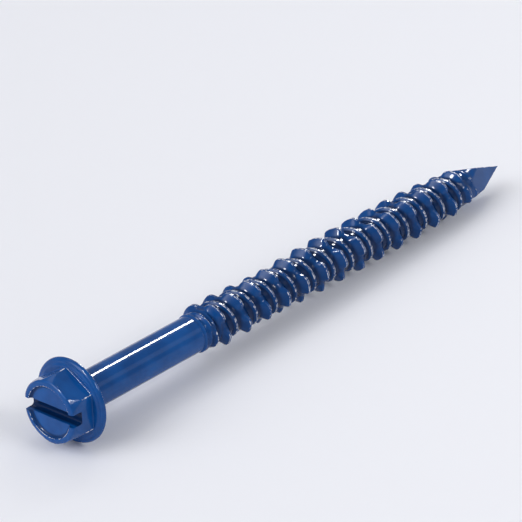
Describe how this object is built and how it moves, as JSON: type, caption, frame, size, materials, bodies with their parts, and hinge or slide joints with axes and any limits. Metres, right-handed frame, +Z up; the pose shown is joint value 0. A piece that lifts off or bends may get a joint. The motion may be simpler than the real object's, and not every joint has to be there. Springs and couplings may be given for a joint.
{
  "type": "concrete screw",
  "caption": "Hex washer head screw with a driver slot, smooth shank, notched high-and-low thread and four-sided point, for fastening straight into drilled concrete.",
  "frame": {"origin": "on the floor under the middle of the screw's length, as it lies at rest", "axes": "+X along the screw towards its point, +Z up; the axis dips towards the point because the washer is wider than the thread"},
  "size_m": [0.0868, 0.011, 0.0109],
  "materials": {
    "blue_paint": "gloss"
  },
  "bodies": {
    "root": {"concrete_screw": "blue_paint"}
  },
  "joints": []
}
